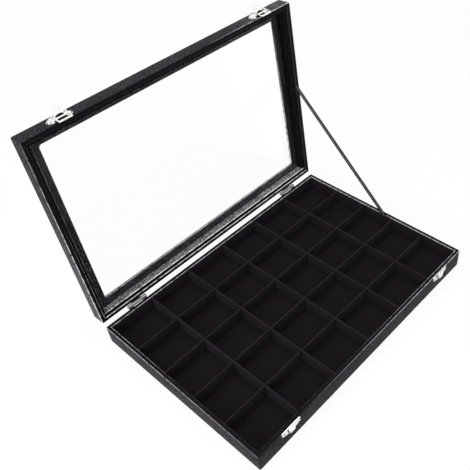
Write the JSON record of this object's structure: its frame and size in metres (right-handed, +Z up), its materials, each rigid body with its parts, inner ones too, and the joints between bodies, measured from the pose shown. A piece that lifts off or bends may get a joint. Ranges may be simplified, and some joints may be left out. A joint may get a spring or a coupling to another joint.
{
  "type": "ring display box",
  "caption": "Shallow leatherette display case: a velvet-lined compartment tray under a hinged glass lid with draw latches and a stay ribbon.",
  "frame": {"origin": "middle of the face that the tray stands on", "axes": "+X along the hinge, to the right of someone at the front; +Y to the hinge side; +Z up"},
  "size_m": [0.35, 0.28, 0.2806],
  "materials": {
    "black_leatherette": "grained leatherette with a low sheen",
    "black_velvet": "short flocked pile, no gloss",
    "fibreboard": "raw fibreboard, hidden",
    "black_paper": "matte black paper board",
    "clear_glass": "clear polished float glass",
    "nickel_plate": "bright nickel-plated pressed steel",
    "grey_ribbon": "woven ribbon"
  },
  "bodies": {
    "case": {"base_bottom_cover": "black_paper", "base_floor_panel": "fibreboard", "base_front_wall": "fibreboard", "base_leatherette_wrap": "black_leatherette", "base_left_wall": "fibreboard", "base_rear_wall": "fibreboard", "base_right_wall": "fibreboard", "catch_brads": "nickel_plate", "cross_divider_1": "black_velvet", "cross_divider_2": "black_velvet", "cross_divider_3": "black_velvet", "cross_divider_4": "black_velvet", "cross_divider_5": "black_velvet", "front_velvet_liner": "black_velvet", "hinge_case_brads": "nickel_plate", "hinge_pins": "nickel_plate", "left_catch_plate": "nickel_plate", "left_hinge_case_leaf": "nickel_plate", "left_velvet_liner": "black_velvet", "long_divider_1": "black_velvet", "long_divider_2": "black_velvet", "long_divider_3": "black_velvet", "long_divider_4": "black_velvet", "rear_velvet_liner": "black_velvet", "right_catch_plate": "nickel_plate", "right_hinge_case_leaf": "nickel_plate", "right_velvet_liner": "black_velvet", "stay_ribbon": "grey_ribbon", "velvet_floor_pad": "black_velvet"},
    "lid": {"front_glass_retainer": "black_velvet", "glass_pane": "clear_glass", "hinge_lid_brads": "nickel_plate", "latch_brads": "nickel_plate", "latch_lever_pins": "nickel_plate", "left_glass_retainer": "black_velvet", "left_hinge_lid_leaf": "nickel_plate", "left_latch_plate": "nickel_plate", "lid_front_rail": "fibreboard", "lid_front_wall": "fibreboard", "lid_leatherette_wrap": "black_leatherette", "lid_left_rail": "fibreboard", "lid_left_wall": "fibreboard", "lid_rear_rail": "fibreboard", "lid_rear_wall": "fibreboard", "lid_right_rail": "fibreboard", "lid_right_wall": "fibreboard", "rear_glass_retainer": "black_velvet", "right_glass_retainer": "black_velvet", "right_hinge_lid_leaf": "nickel_plate", "right_latch_plate": "nickel_plate"},
    "left_latch_lever": {"left_latch_lever": "nickel_plate", "left_latch_loop_pin": "nickel_plate"},
    "left_latch_loop": {"left_latch_loop": "nickel_plate"},
    "right_latch_lever": {"right_latch_lever": "nickel_plate", "right_latch_loop_pin": "nickel_plate"},
    "right_latch_loop": {"right_latch_loop": "nickel_plate"}
  },
  "joints": [
    {"name": "lid_hinge", "type": "hinge", "parent": "case", "child": "lid", "pos_m": [0, 0.1232, 0.02465], "axis": [1, 0, 0], "range_deg": [0, 94], "deforming": ["stay_ribbon"]},
    {"name": "left_latch_lever_hinge", "type": "hinge", "parent": "lid", "child": "left_latch_lever", "pos_m": [-0.13, 0.14406, 0.26919], "axis": [1, 0, 0], "range_deg": [-55, 65]},
    {"name": "left_latch_loop_hinge", "type": "hinge", "parent": "left_latch_lever", "child": "left_latch_loop", "pos_m": [-0.13, 0.14695, 0.27277], "axis": [1, 0, 0], "range_deg": [-57.5, 48.7]},
    {"name": "right_latch_lever_hinge", "type": "hinge", "parent": "lid", "child": "right_latch_lever", "pos_m": [0.13, 0.14406, 0.26919], "axis": [1, 0, 0], "range_deg": [-55, 65]},
    {"name": "right_latch_loop_hinge", "type": "hinge", "parent": "right_latch_lever", "child": "right_latch_loop", "pos_m": [0.13, 0.14695, 0.27277], "axis": [1, 0, 0], "range_deg": [-57.5, 48.7]}
  ],
  "couplings": [
    {"joint": "left_latch_loop_hinge", "follows": "left_latch_lever_hinge", "ratio": -0.88333},
    {"joint": "right_latch_loop_hinge", "follows": "right_latch_lever_hinge", "ratio": -0.88333}
  ]
}
